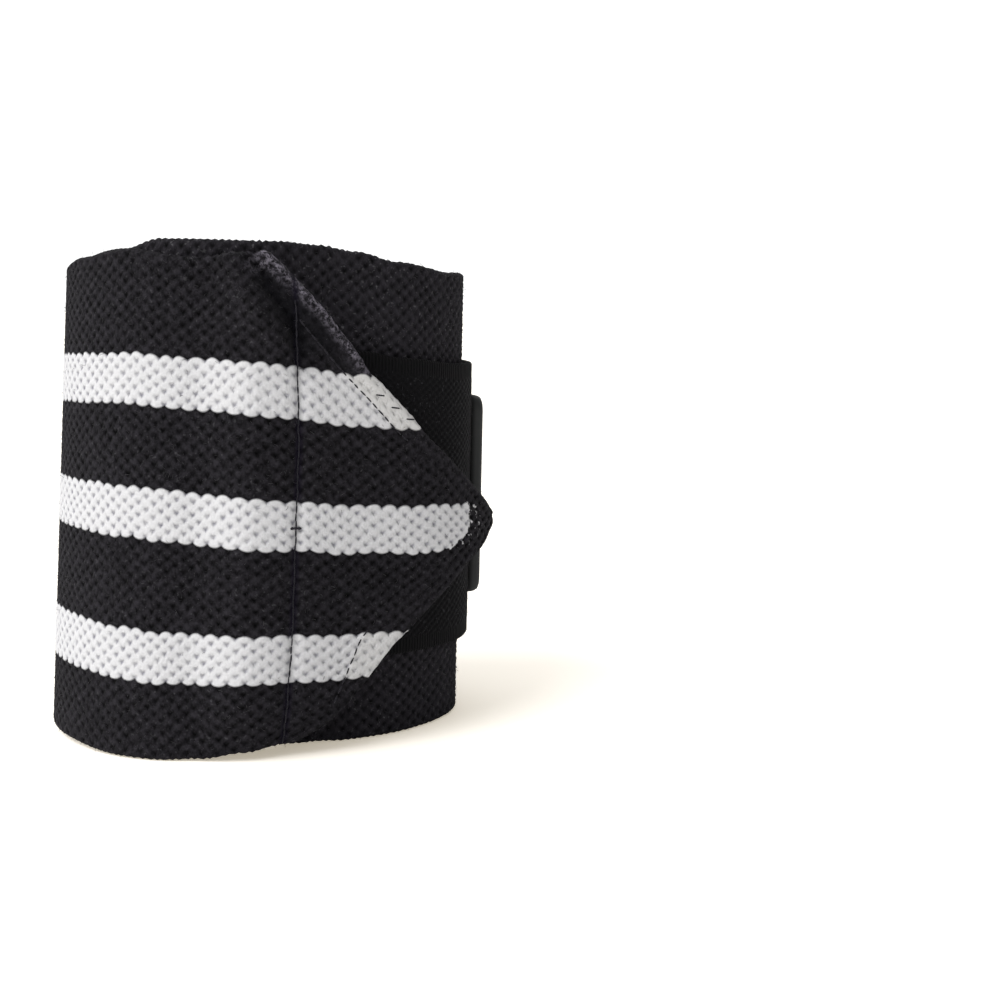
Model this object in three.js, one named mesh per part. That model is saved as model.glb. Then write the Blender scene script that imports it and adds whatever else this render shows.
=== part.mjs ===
// A wrist wrap for weight lifting, rolled up and standing on the edge of its band.
// Millimetres and degrees. +Z is up, -Y is the side with the pointed end.
import * as THREE from 'three';

// The knitted band.
const BAND_WIDTH = 80;
const BAND_THICKNESS = 2.3;
const BAND_LENGTH = 430; // from the hidden end to the point, along the roll
const BAND_EDGE = 0.5; // how far the band's edges are rounded
const FOLD_EDGE = 1.4; // and the folded edges of its point
// Clear space between one layer and the next.
const LAYER_GAP = 0.3;

// The roll that the band is wound into, seen from above: the radius of its outer face at equal steps
// of turn, as shares of the mean one. It is wider than it is deep, and flatter at the front right.
const ROLL_RADIUS = 32;
const ROLL_SHAPE = [
  { turn: 0, share: 1.19 },
  { turn: 30, share: 1.155 },
  { turn: 60, share: 1.03 },
  { turn: 90, share: 0.95 },
  { turn: 120, share: 0.965 },
  { turn: 150, share: 1.03 },
  { turn: 180, share: 1.066 },
  { turn: 210, share: 1.045 },
  { turn: 240, share: 1.003 },
  { turn: 270, share: 0.888 },
  { turn: 300, share: 0.857 },
  { turn: 330, share: 1.026 },
];
const FLARE = 0.77; // the roll is this much wider at the bottom than half way up
const LEAN = 1.67; // and leans this much to the left there

// The pointed end. The band's corners are folded under, so it is twice as thick.
const POINT_ANGLE = 270; // where the upper corner's fold starts, counter-clockwise from +X
const POINT_LENGTH = 51; // from there to the tip
// The folded edges at shares of the point's length, as shares of the band's width.
const POINT_EDGES = [
  { reach: 0, lower: 0, upper: 1 },
  { reach: 0.17, lower: 0.002, upper: 0.916 },
  { reach: 0.27, lower: 0.034, upper: 0.867 },
  { reach: 0.395, lower: 0.113, upper: 0.807 },
  { reach: 0.525, lower: 0.217, upper: 0.743 },
  { reach: 0.67, lower: 0.3, upper: 0.667 },
  { reach: 0.84, lower: 0.385, upper: 0.588 },
  { reach: 0.95, lower: 0.425, upper: 0.537 },
  { reach: 1, lower: 0.455, upper: 0.51 },
];
const FOLD_STEP = 3; // over this length the band comes to its double thickness
const RISE_LENGTH = 11; // over this length the band climbs onto the strap's root
const SEAM_FROM_FOLD = 6; // the seam across the band, past the fold's start
const SEAM_DEPTH = 0.5;
const SEAM_HALF_WIDTH = 2.2;

// The strap that closes the wrap.
const STRAP_WIDTH = 50;
const STRAP_THICKNESS = 1.4;
const STRAP_LENGTH = 135;
const STRAP_HEIGHT = 39; // its middle, above the band's lower edge
const STRAP_ROOT_FROM_SEAM = 2;

// The rubber patch on the strap.
const PATCH_LENGTH = 92;
const PATCH_WIDTH = 37;
const PATCH_END_FROM_STRAP_END = 5;
// Its thickness at distances in from its edge: the rounded rim, the stitch groove, the flat middle.
const PATCH_SECTION = [
  { inward: 0, thick: 1.3 },
  { inward: 0.4, thick: 2.2 },
  { inward: 2.3, thick: 2.2 },
  { inward: 2.7, thick: 1.1 },
  { inward: 4, thick: 1.1 },
  { inward: 4.4, thick: 1.8 },
];

// The band's rows at angles along the winding: its lower edge, middle and upper edge, as shares of
// its width. One turn lies a little higher or lower than the next. Angles run on from turn to turn,
// and the outer turn is the one from -80 to 280.
const WINDING = [
  { angle: -440, lower: 0, middle: 0.48, upper: 0.96 },
  { angle: -350, lower: 0, middle: 0.48, upper: 0.96 },
  { angle: -180, lower: 0, middle: 0.5, upper: 1 },
  { angle: -140, lower: 0.02, middle: 0.52, upper: 1.02 },
  { angle: -125, lower: 0.03, middle: 0.535, upper: 1.038 },
  { angle: -84, lower: 0.012, middle: 0.52, upper: 1.034 },
  { angle: -68, lower: 0.006, middle: 0.515, upper: 1.028 },
  { angle: -52, lower: 0, middle: 0.51, upper: 1.016 },
  { angle: -37, lower: 0, middle: 0.5, upper: 0.996 },
  { angle: -13, lower: 0, middle: 0.49, upper: 0.976 },
  { angle: 60, lower: 0, middle: 0.495, upper: 0.99 },
  { angle: 150, lower: 0, middle: 0.5, upper: 0.995 },
  { angle: 186, lower: 0.01, middle: 0.525, upper: 0.99 },
  { angle: 205, lower: 0.009, middle: 0.526, upper: 1.004 },
  { angle: 230, lower: 0.001, middle: 0.522, upper: 1.019 },
  { angle: 242, lower: 0, middle: 0.515, upper: 1.013 },
  { angle: 255, lower: 0.003, middle: 0.508, upper: 1.009 },
  { angle: 267, lower: 0.016, middle: 0.501, upper: 1.013 },
  { angle: 280, lower: 0.022, middle: 0.492, upper: 1.007 },
  { angle: 300, lower: 0.016, middle: 0.478, upper: 0.99 },
  { angle: 320, lower: 0.012, middle: 0.466, upper: 0.975 },
  { angle: 346, lower: 0.01, middle: 0.456, upper: 0.965 },
];

const PITCH = BAND_THICKNESS + LAYER_GAP; // how far one turn stands out from the last
const STRAP_STACK = STRAP_THICKNESS + LAYER_GAP; // what the strap adds under the point
const POINT_LIFT = STRAP_STACK + BAND_THICKNESS; // how far the point's outer face stands out
const STRAP_MARGIN = 6; // the point stays up this far past the strap's edges
const STRAP_SHOULDER = 8; // and comes down over this width
const SECTION_ANGLE = 7.5;
const FINE_ANGLE = 3;
const TRACE_ANGLE = 0.5; // the step by which a length along the winding is measured
const BAND_ROWS = 8; // across the band's width

const radians = THREE.MathUtils.degToRad;

function clamp01(x) {
  return Math.min(1, Math.max(0, x));
}

function smooth(x) {
  const t = clamp01(x);
  return t * t * (3 - 2 * t);
}

// The two rows of a table that a value of one of its columns lies between, and the share of the way
// from the first to the second.
function between(table, column, value) {
  let i = 0;
  while (i < table.length - 2 && table[i + 1][column] < value) i += 1;
  const [a, b] = [table[i], table[i + 1]];
  return [a, b, clamp01((value - a[column]) / (b[column] - a[column]))];
}

// Radius of the outer face at an angle along the winding, on a smooth closed curve.
function faceRadius(angle) {
  const count = ROLL_SHAPE.length;
  const step = 360 / count;
  const turned = THREE.MathUtils.euclideanModulo(angle, 360);
  const i = Math.floor(turned / step);
  const t = (turned - ROLL_SHAPE[i].turn) / step;
  const [p, q, r, s] = [-1, 0, 1, 2].map((d) => ROLL_SHAPE[(i + d + count) % count].share);
  const bend = (2 * p - 5 * q + 4 * r - s) * t * t + (3 * q - p - 3 * r + s) * t * t * t;
  const share = q + 0.5 * ((r - p) * t + bend);
  return ROLL_RADIUS * share + (PITCH * (angle - POINT_ANGLE)) / 360;
}

// Height of a line of the cloth that lies `across` millimetres above the band's lower edge.
function heightOf(angle, across) {
  const [a, b, t] = between(WINDING, 'angle', angle);
  const row = (key) => BAND_WIDTH * THREE.MathUtils.lerp(a[key], b[key], smooth(t));
  const s = across / BAND_WIDTH;
  const [lower, middle, upper] = [row('lower'), row('middle'), row('upper')];
  const bow = middle - (lower + upper) / 2;
  return lower + s * (upper - lower) + 4 * bow * s * (1 - s);
}

// The point of space for a place on the winding: an angle along it, a height across the band, and a
// distance out from the outer face.
function place(angle, across, out) {
  const z = heightOf(angle, across);
  const k = 1 - (2 * z) / BAND_WIDTH;
  const r = faceRadius(angle) + out + FLARE * k;
  const t = radians(angle);
  return new THREE.Vector3(r * Math.cos(t) - LEAN * k, r * Math.sin(t), z);
}

// The angle reached after going a length along the winding from a first angle.
function angleAfter(first, length, out = 0) {
  const step = Math.sign(length) * TRACE_ANGLE;
  let angle = first;
  let left = Math.abs(length);
  while (left > 0) {
    const here = place(angle, BAND_WIDTH / 2, out);
    const next = place(angle + step, BAND_WIDTH / 2, out);
    const gone = here.distanceTo(next);
    if (gone >= left) return angle + (step * left) / gone;
    left -= gone;
    angle += step;
  }
  return angle;
}

// Angles from first to last at whole multiples of a step, so that layers have their edges in line.
function angles(first, last, step = SECTION_ANGLE) {
  const list = [first];
  const least = step / 4;
  for (let a = Math.ceil((first + least) / step) * step; a < last - least; a += step) list.push(a);
  list.push(last);
  return list;
}

// A closed solid through rings of points that all have the same number of points.
function solidThrough(rings) {
  const count = rings[0].length;
  const middle = (ring) => ring.reduce((sum, p) => sum.add(p), new THREE.Vector3()).divideScalar(count);
  const points = rings.flat();
  const index = [];
  for (let i = 0; i + 1 < rings.length; i += 1) {
    for (let j = 0; j < count; j += 1) {
      const k = (j + 1) % count;
      const [a, b, c, d] = [i * count + j, i * count + k, (i + 1) * count + k, (i + 1) * count + j];
      index.push(a, b, c, a, c, d);
    }
  }
  const ends = [
    { ring: 0, turned: true },
    { ring: rings.length - 1, turned: false },
  ];
  for (const { ring, turned } of ends) {
    const centre = points.length;
    points.push(middle(rings[ring]));
    for (let j = 0; j < count; j += 1) {
      const a = ring * count + j;
      const b = ring * count + ((j + 1) % count);
      if (turned) index.push(centre, b, a);
      else index.push(centre, a, b);
    }
  }
  const geometry = new THREE.BufferGeometry().setFromPoints(points);
  geometry.setIndex(index);
  return geometry;
}

// The ring round a strip of cloth at one angle: up its inner face and down its outer one. raised
// gives how far the strip stands further out at a height across the band.
function stripRing(angle, { low, high, inner, outer, edge, raised = () => 0, rows = BAND_ROWS }) {
  const e = Math.min(edge, (high - low) / 4);
  const up = (i) => low + e + ((high - low - 2 * e) * i) / rows;
  const at = (across, out) => place(angle, across, out + raised(across));
  const ring = [at(low, inner + e)];
  for (let i = 0; i <= rows; i += 1) ring.push(at(up(i), inner));
  ring.push(at(high, inner + e), at(high, outer - e));
  for (let i = rows; i >= 0; i -= 1) ring.push(at(up(i), outer));
  ring.push(at(low, outer - e));
  return ring;
}

const foldStart = POINT_ANGLE;
const doubleFrom = angleAfter(foldStart, FOLD_STEP, POINT_LIFT);
const seamAngle = angleAfter(foldStart, SEAM_FROM_FOLD, POINT_LIFT);
const tipAngle = angleAfter(foldStart, POINT_LENGTH, POINT_LIFT);
const riseStart = angleAfter(foldStart, -RISE_LENGTH);

// The share of the way from one angle to another, 0 before it and 1 after it.
function along(angle, from, to) {
  return clamp01((angle - from) / (to - from));
}

function bandSection(angle) {
  const [a, b, t] = between(POINT_EDGES, 'reach', along(angle, foldStart, tipAngle));
  const risen = smooth(along(angle, riseStart, foldStart));
  const lift = BAND_THICKNESS * risen;
  const folded = along(angle, foldStart, doubleFrom);
  const fromSeam = faceRadius(angle) * radians(Math.abs(angle - seamAngle));
  const dent = SEAM_DEPTH * clamp01(1 - fromSeam / SEAM_HALF_WIDTH);
  const beside = (across) => Math.abs(across - STRAP_HEIGHT) - STRAP_WIDTH / 2 - STRAP_MARGIN;
  return {
    low: BAND_WIDTH * THREE.MathUtils.lerp(a.lower, b.lower, t),
    high: BAND_WIDTH * THREE.MathUtils.lerp(a.upper, b.upper, t),
    inner: lift - BAND_THICKNESS * (1 + folded),
    outer: lift - dent,
    edge: THREE.MathUtils.lerp(BAND_EDGE, FOLD_EDGE, folded),
    raised: (across) => STRAP_STACK * risen * (1 - smooth(beside(across) / STRAP_SHOULDER)),
  };
}

function elasticBand() {
  const first = angleAfter(foldStart, -(BAND_LENGTH - POINT_LENGTH));
  const marks = [riseStart, foldStart, doubleFrom, seamAngle];
  const point = angles(riseStart, tipAngle, FINE_ANGLE);
  const clear = point.filter((a) => marks.every((m) => Math.abs(m - a) > FINE_ANGLE / 4));
  const wound = angles(first, riseStart).slice(0, -1);
  const all = [...wound, ...marks, ...clear].sort((a, b) => a - b);
  return solidThrough(all.map((a) => stripRing(a, bandSection(a))));
}

const strapRoot = angleAfter(seamAngle - 360, STRAP_ROOT_FROM_SEAM);
const strapEnd = angleAfter(strapRoot, STRAP_LENGTH, LAYER_GAP);
const strapLow = STRAP_HEIGHT - STRAP_WIDTH / 2;
const strapOuter = LAYER_GAP + STRAP_THICKNESS;

function closureStrap() {
  const section = {
    low: strapLow,
    high: strapLow + STRAP_WIDTH,
    inner: LAYER_GAP,
    outer: strapOuter,
    edge: STRAP_THICKNESS / 4,
  };
  return solidThrough(angles(strapRoot, strapEnd).map((a) => stripRing(a, section)));
}

// Thickness of the patch at a distance in from its edge.
function patchThickness(inward) {
  const [a, b, t] = between(PATCH_SECTION, 'inward', inward);
  return THREE.MathUtils.lerp(a.thick, b.thick, t);
}

function rubberPatch() {
  const inner = strapOuter + LAYER_GAP;
  const patchEnd = angleAfter(strapEnd, -PATCH_END_FROM_STRAP_END, inner);
  const patchStart = angleAfter(patchEnd, -PATCH_LENGTH, inner);
  const low = STRAP_HEIGHT - PATCH_WIDTH / 2;
  const steps = PATCH_SECTION.map((row) => row.inward);
  const flat = steps[steps.length - 1];
  const nearStart = steps.map((x) => ({ angle: angleAfter(patchStart, x, inner), inward: x }));
  const nearEnd = steps.map((x) => ({ angle: angleAfter(patchEnd, -x, inner), inward: x })).reverse();
  const middle = angles(nearStart.at(-1).angle, nearEnd[0].angle).slice(1, -1);
  const columns = [...nearStart, ...middle.map((angle) => ({ angle, inward: flat })), ...nearEnd];
  const rows = [...steps, ...steps.map((y) => PATCH_WIDTH - y).reverse()];
  const ringAt = ({ angle, inward }) => {
    const top = rows.map((y) => {
      const thick = patchThickness(Math.min(inward, y, PATCH_WIDTH - y));
      return place(angle, low + y, inner + thick);
    });
    return [place(angle, low, inner), place(angle, low + PATCH_WIDTH, inner), ...top.reverse()];
  };
  return solidThrough(columns.map(ringAt));
}

const knit = new THREE.MeshStandardMaterial({ color: 0x2b292e, roughness: 0.95, metalness: 0 });
const tape = new THREE.MeshStandardMaterial({ color: 0x2e2d30, roughness: 0.9, metalness: 0 });
const rubber = new THREE.MeshStandardMaterial({ color: 0x3c3c3d, roughness: 0.6, metalness: 0 });

const pieces = [
  { name: 'elastic_band', geometry: elasticBand(), material: knit },
  { name: 'closure_strap', geometry: closureStrap(), material: tape },
  { name: 'rubber_patch', geometry: rubberPatch(), material: rubber },
];

// The origin is under the middle of the whole, on the surface that it stands on.
const box = new THREE.Box3();
for (const { geometry } of pieces) {
  geometry.computeBoundingBox();
  box.union(geometry.boundingBox);
}
const centre = box.getCenter(new THREE.Vector3());

const wristWrap = new THREE.Group();
for (const { name, geometry, material } of pieces) {
  geometry.computeVertexNormals();
  const mesh = new THREE.Mesh(geometry, material);
  mesh.name = name;
  mesh.position.set(-centre.x, -centre.y, -box.min.z);
  wristWrap.add(mesh);
}

export default wristWrap;
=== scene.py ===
"""The looks of a wrist wrap for weight lifting: a striped elastic band wound into an upright roll.

The band's outer end is folded to a point. A hook-and-loop strap with a rubber patch is sewn under the
point and goes round the right side and the back. Every piece is made in millimetres on the same winding
as the solids, and put into the frame in metres.
"""

import math

import bpy
import numpy as np
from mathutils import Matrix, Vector


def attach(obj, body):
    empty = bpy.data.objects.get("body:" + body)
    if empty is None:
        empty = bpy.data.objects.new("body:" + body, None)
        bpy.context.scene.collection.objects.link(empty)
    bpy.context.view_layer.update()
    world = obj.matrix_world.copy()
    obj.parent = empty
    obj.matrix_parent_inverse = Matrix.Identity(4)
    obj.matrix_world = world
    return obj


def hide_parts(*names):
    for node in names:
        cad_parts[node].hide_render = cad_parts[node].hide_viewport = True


bl_info = {
    "name": "Wrist wrap looks",
    "version": (1, 0, 0),
    "blender": (4, 5, 0),
    "location": "View3D > Sidebar > Wrist wrap",
    "description": "Makes the knitted band, its strap, its patch and its stitches on the solids",
    "category": "Add Mesh",
}

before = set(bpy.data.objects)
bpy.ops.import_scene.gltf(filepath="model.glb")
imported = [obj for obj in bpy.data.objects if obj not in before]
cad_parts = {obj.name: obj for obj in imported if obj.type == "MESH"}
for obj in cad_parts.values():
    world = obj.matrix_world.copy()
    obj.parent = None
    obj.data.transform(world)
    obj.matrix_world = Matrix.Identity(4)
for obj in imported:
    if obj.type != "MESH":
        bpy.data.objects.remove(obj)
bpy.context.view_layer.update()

MM = 0.001

# The same sizes and tables as the solids have, in millimetres and degrees.
BAND_WIDTH = 80.0
BAND_THICKNESS = 2.3
BAND_LENGTH = 430.0
LAYER_GAP = 0.3
ROLL_RADIUS = 32.0
ROLL_SHAPE = [1.19, 1.155, 1.03, 0.95, 0.965, 1.03, 1.066, 1.045, 1.003, 0.888, 0.857, 1.026]
FLARE = 0.77
LEAN = 1.67
POINT_ANGLE = 270.0
POINT_LENGTH = 51.0
POINT_EDGES = {
    "reach": [0, 0.17, 0.27, 0.395, 0.525, 0.67, 0.84, 0.95, 1],
    "lower": [0, 0.002, 0.034, 0.113, 0.217, 0.3, 0.385, 0.425, 0.455],
    "upper": [1, 0.916, 0.867, 0.807, 0.743, 0.667, 0.588, 0.537, 0.51],
}
FOLD_STEP = 3.0
RISE_LENGTH = 11.0
SEAM_FROM_FOLD = 6.0
STRAP_WIDTH = 50.0
STRAP_THICKNESS = 1.4
STRAP_LENGTH = 135.0
STRAP_HEIGHT = 39.0
STRAP_ROOT_FROM_SEAM = 2.0
STRAP_MARGIN = 6.0
STRAP_SHOULDER = 8.0
PATCH_LENGTH = 92.0
PATCH_WIDTH = 37.0
PATCH_END_FROM_STRAP_END = 5.0
WINDING = {
    "angle": [-440, -350, -180, -140, -125, -84, -68, -52, -37, -13, 60, 150, 186, 205, 230, 242, 255,
              267, 280, 300, 320, 346],
    "lower": [0, 0, 0, 0.02, 0.03, 0.012, 0.006, 0, 0, 0, 0, 0, 0.01, 0.009, 0.001, 0, 0.003, 0.016,
              0.022, 0.016, 0.012, 0.01],
    "middle": [0.48, 0.48, 0.5, 0.52, 0.535, 0.52, 0.515, 0.51, 0.5, 0.49, 0.495, 0.5, 0.525, 0.526,
               0.522, 0.515, 0.508, 0.501, 0.492, 0.478, 0.466, 0.456],
    "upper": [0.96, 0.96, 1, 1.02, 1.038, 1.034, 1.028, 1.016, 0.996, 0.976, 0.99, 0.995, 0.99, 1.004,
              1.019, 1.013, 1.009, 1.013, 1.007, 0.99, 0.975, 0.965],
}
# The band is loose up to the first angle, and stretched from the second one on.
LOOSE_UNTIL = 140.0
STRETCHED_FROM = 190.0
PITCH = BAND_THICKNESS + LAYER_GAP
STRAP_STACK = STRAP_THICKNESS + LAYER_GAP
POINT_LIFT = STRAP_STACK + BAND_THICKNESS

# The knit's cells: one loop's width and height, and the rows that the middles of the stripes lie on.
CELL_WIDTH = 2.85
CELL_HEIGHT = 2.1
STRIPE_ROWS = [7.75, 18.25, 28.25]
STRIPE_HALF = 1.74
STRIPE_SCALLOP = 0.24
STRIPE_BLUR = 0.3
# How far each row of loops bends up on both sides of its holes, as a share of a loop's height.
LOOP_BEND = 0.14
# How far loops stray, in loops: each by itself along and across the cloth, and some together across it.
STRAY_ALONG = 0.11
STRAY_ACROSS = 0.1
STRAY_TOGETHER = 0.08
RINGS_PER_LOOP = 5
# Lines on the point, as lengths past the fold's start and heights across: where its folded-under hems
# end, and where the cloth creases between its top corner and the seam.
HEM_ENDS = {
    "upper": {
        "length": [0.5, 3.4, 8, 12.4, 15.9, 22.9, 30, 51],
        "across": [78, 73, 68.4, 64.6, 61.6, 55.4, 50, 40],
    },
    "lower": {"length": [10, 14.4, 17.9, 22, 30, 51], "across": [0, 10.8, 19.6, 24, 30, 36]},
}
CREASE = {"across": [62, 67.4, 70.7, 74.8, 78, 80], "length": [6.2, 5.15, 3.06, -0.16, -2.02, -3.1]}
SEAM_LINE = {"across": [0, 10.9, 19.5, 38, 52, 66.6, 80], "length": [5.3, 5.7, 6.2, 6.4, 6.6, 5.9, 5.2]}
# The point's upper edge as its cloth lies: how far it drops below the solid's edge, or stands above it.
CORNER = {
    "length": [-26, -20, -15, -10, -6, -3, -0.6, 1.3, 3.7, 6, 10, 13.5, 17, 19, 21, 27, 30],
    "drop": [0, 0.5, 0.9, 0.6, 0.0, 0.2, 0.1, -1.0, -1.7, -1.8, -2.1, -1.9, -1.2, -0.3, -0.8, -0.8, 0],
}
# The relief in millimetres. Each bell has a height, the place of its middle and a width.
EDGE_ROUNDING = 0.9
RIM_BEADS = 0.28
STRIPE_RISE = 0.35
SEAM_VALLEY = (-0.45, 0.0, 1.5)
SEAM_GROOVE = (-0.35, 0.0, 0.45)
HEM_RISE = 0.2
HEM_FLATTER = 0.4
WHITE_HEM_FLATTER = 0.45
ROLL_RISE = 0.5
ROLL_ROUGHNESS = 0.42
ROLL_WIDTH = 3.3
CREASE_BULGE = (1.2, -3.0, 2.4)
CREASE_GROOVE = (-1.5, 1.3, 1.6)
# This bell is not relief. It places the painted shade along the crease, and its height is the strength
# of that shade.
CREASE_SHADE = (1.0, 1.5, 2.0)
CREASE_FROM = 60
CREASE_FADE = 9
# The strap's tape: its loops and their relief, and the ribs along its two selvedges.
TAPE_ROUNDING = 0.45
TAPE_LOOP = (1.7, 1.25)
TAPE_LOOSE = 0.8
TAPE_RELIEF = 0.1
TAPE_RISE = 0.08
RIB_PITCH = 0.62
SELVEDGE = 2.6
# The patch's thickness at distances in from its edge, in millimetres.
PATCH_PROFILE = {
    "inward": [0, 0.12, 0.4, 0.9, 1.5, 2.0, 2.3, 2.45, 2.7, 3.2, 3.75, 4.0, 4.12, 4.4, 5.0],
    "thick": [0.9, 1.45, 1.95, 2.18, 2.2, 2.08, 1.75, 1.3, 1.1, 1.05, 1.1, 1.35, 1.62, 1.78, 1.8],
}
PATCH_CORNER = 3.0
# Where the stitches lie in the groove: how far in from the edge, and above the patch's foot.
PATCH_STITCH_INWARD = 3.3
PATCH_STITCH_HEIGHT = 1.22
# Scales of the fine yarn's noise, and colours that have no setting of their own. Colours are linear.
KNIT_YARN = 2600.0
TAPE_YARN = 2200.0
# Light specks of the yarn, partly light fibres and partly painted glints.
KNIT_SPECK_AND_GLINT = (0.14, 0.14, 0.145, 1)
TAPE_SPECK_AND_GLINT = (0.2, 0.2, 0.22, 1)
HEM_WHITE = (0.60, 0.585, 0.55, 1)
# Painted shade in the holes between the loops, on the white and on the black.
HOLE_SHADE_IN_WHITE = (0.27, 0.27, 0.31, 1)
HOLE_SHADE_IN_BLACK = (0.0008, 0.0008, 0.001, 1)
SEAM_SHADE = (0.008, 0.006, 0.014, 1)
# The colour of the painted shade in the crease and beside the rolled hem.
CREASE_PAINTED_SHADE = (0.003, 0.003, 0.004, 1)
GROOVE_SHADE = (0.008, 0.008, 0.008, 1)


def smooth(x):
    t = np.clip(x, 0.0, 1.0)
    return t * t * (3 - 2 * t)


def face_radius(angle):
    """Radius of the roll's outer face at angles along the winding."""
    shape = np.array(ROLL_SHAPE)
    count = len(shape)
    at = (np.asarray(angle, float) % 360) / 360 * count
    i = np.floor(at).astype(int) % count
    t = at - np.floor(at)
    p, q, r, s = (shape[(i + d) % count] for d in (-1, 0, 1, 2))
    bend = (2 * p - 5 * q + 4 * r - s) * t**2 + (3 * q - p - 3 * r + s) * t**3
    share = q + 0.5 * ((r - p) * t + bend)
    return ROLL_RADIUS * share + PITCH * (np.asarray(angle, float) - POINT_ANGLE) / 360


def height_of(angle, across):
    """Height of a line of the cloth that lies some way above the band's lower edge."""
    rows = np.array(WINDING["angle"], float)
    i = np.clip(np.searchsorted(rows, angle, side="left") - 1, 0, len(rows) - 2)
    t = smooth((angle - rows[i]) / (rows[i + 1] - rows[i]))
    lower, middle, upper = (
        BAND_WIDTH * (np.array(WINDING[k], float)[i] * (1 - t) + np.array(WINDING[k], float)[i + 1] * t)
        for k in ("lower", "middle", "upper")
    )
    s = across / BAND_WIDTH
    return lower + s * (upper - lower) + 4 * (middle - (lower + upper) / 2) * s * (1 - s)


def wound(angle, across, out):
    """Points of the winding, in millimetres round the roll's own axis."""
    angle, across, out = np.broadcast_arrays(*(np.asarray(v, float) for v in (angle, across, out)))
    z = height_of(angle, across)
    k = 1 - 2 * z / BAND_WIDTH
    r = face_radius(angle) + out + FLARE * k
    t = np.radians(angle)
    return np.stack([r * np.cos(t) - LEAN * k, r * np.sin(t), z], axis=-1)


TRACE = np.arange(-460.0, 380.0, 0.25)


def traced(out):
    """Length along the winding at each angle of TRACE, from the point's fold on."""
    line = wound(TRACE, BAND_WIDTH / 2, out)
    steps = np.linalg.norm(np.diff(line, axis=0), axis=1)
    length = np.concatenate([[0.0], np.cumsum(steps)])
    return length - np.interp(POINT_ANGLE, TRACE, length)


def angle_after(first, length, out=0.0):
    lengths = traced(out)
    return float(np.interp(np.interp(first, TRACE, lengths) + length, lengths, TRACE))


FOLD_START = POINT_ANGLE
DOUBLE_FROM = angle_after(FOLD_START, FOLD_STEP, POINT_LIFT)
SEAM_ANGLE = angle_after(FOLD_START, SEAM_FROM_FOLD, POINT_LIFT)
TIP_ANGLE = angle_after(FOLD_START, POINT_LENGTH, POINT_LIFT)
RISE_START = angle_after(FOLD_START, -RISE_LENGTH)
BAND_START = angle_after(FOLD_START, -(BAND_LENGTH - POINT_LENGTH))
STRAP_ROOT = angle_after(SEAM_ANGLE - 360, STRAP_ROOT_FROM_SEAM)
STRAP_END = angle_after(STRAP_ROOT, STRAP_LENGTH, LAYER_GAP)
STRAP_OUTER = LAYER_GAP + STRAP_THICKNESS
PATCH_INNER = STRAP_OUTER + LAYER_GAP
PATCH_END = angle_after(STRAP_END, -PATCH_END_FROM_STRAP_END, PATCH_INNER)
PATCH_START = angle_after(PATCH_END, -PATCH_LENGTH, PATCH_INNER)
# The wound band is made as two pieces that meet under the point, where nothing shows.
JOIN_ANGLE = -82.0
# Where the winding's own axis stands in the frame, in metres.
AXIS = np.array([-2.64, -0.37, 0.0]) * MM


def placed(points):
    """Points of the winding put into the frame, in metres."""
    return np.asarray(points) * MM + AXIS


def report(operator, text):
    operator.report({"INFO"}, text)
    return {"FINISHED"}


def linked(name, data):
    obj = bpy.data.objects.new(name, data)
    bpy.context.scene.collection.objects.link(obj)
    return obj


def shade_smooth(mesh):
    mesh.polygons.foreach_set("use_smooth", np.ones(len(mesh.polygons), dtype=bool))


def mesh_object(name, points, faces, uv, values):
    """A smooth-shaded mesh object at the origin, with one UV map and named values on its points."""
    mesh = bpy.data.meshes.new(name)
    mesh.from_pydata([tuple(p) for p in points], [], [tuple(int(i) for i in f) for f in faces])
    mesh.update()
    shade_smooth(mesh)
    corner = np.empty(len(mesh.loops), dtype=np.int32)
    mesh.loops.foreach_get("vertex_index", corner)
    layer = mesh.uv_layers.new(name="cloth")
    layer.data.foreach_set("uv", np.asarray(uv, np.float32)[corner].ravel())
    for key, column in values.items():
        attribute = mesh.attributes.new(key, "FLOAT", "POINT")
        attribute.data.foreach_set("value", np.asarray(column, np.float32))
    return linked(name, mesh)


def closed_strip(name, rings, uv, values):
    """A closed solid through rings of points, each going up the outer face and down the inner one."""
    sections, count = rings.shape[:2]
    i, j = np.meshgrid(np.arange(sections - 1), np.arange(count), indexing="ij")
    k = (j + 1) % count
    quads = np.stack([i * count + j, (i + 1) * count + j, (i + 1) * count + k, i * count + k], axis=-1)
    faces = list(quads.reshape(-1, 4))
    points = rings.reshape(-1, 3)
    last = (sections - 1) * count
    start, end = len(points), len(points) + 1
    faces += [(start, a, (a + 1) % count) for a in range(count)]
    faces += [(end, last + (a + 1) % count, last + a) for a in range(count)]
    ends = np.stack([rings[0].mean(axis=0), rings[-1].mean(axis=0)])
    points = np.concatenate([points, ends])
    coords = uv.reshape(-1, 2)
    coords = np.concatenate([coords, [uv[0].mean(axis=0), uv[-1].mean(axis=0)]])
    columns = {
        key: np.concatenate([v.reshape(-1), [v[0].mean(), v[-1].mean()]]) for key, v in values.items()
    }
    return mesh_object(name, points, faces, coords, columns)


def knit_relief(u, v, loose):
    """Relief of the knit from -1 to 0: sunk pits where it is stretched, and bumps where it is loose."""
    bent = v - LOOP_BEND * np.abs(np.sin(2 * np.pi * u))
    g = np.cos(2 * np.pi * u) * np.cos(2 * np.pi * bent)
    pits = -(((1 - g) / 2) ** 3)
    bumps = ((1 + g) / 2) ** 1.3 - 1
    return pits * (1 - loose) + bumps * loose


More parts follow.
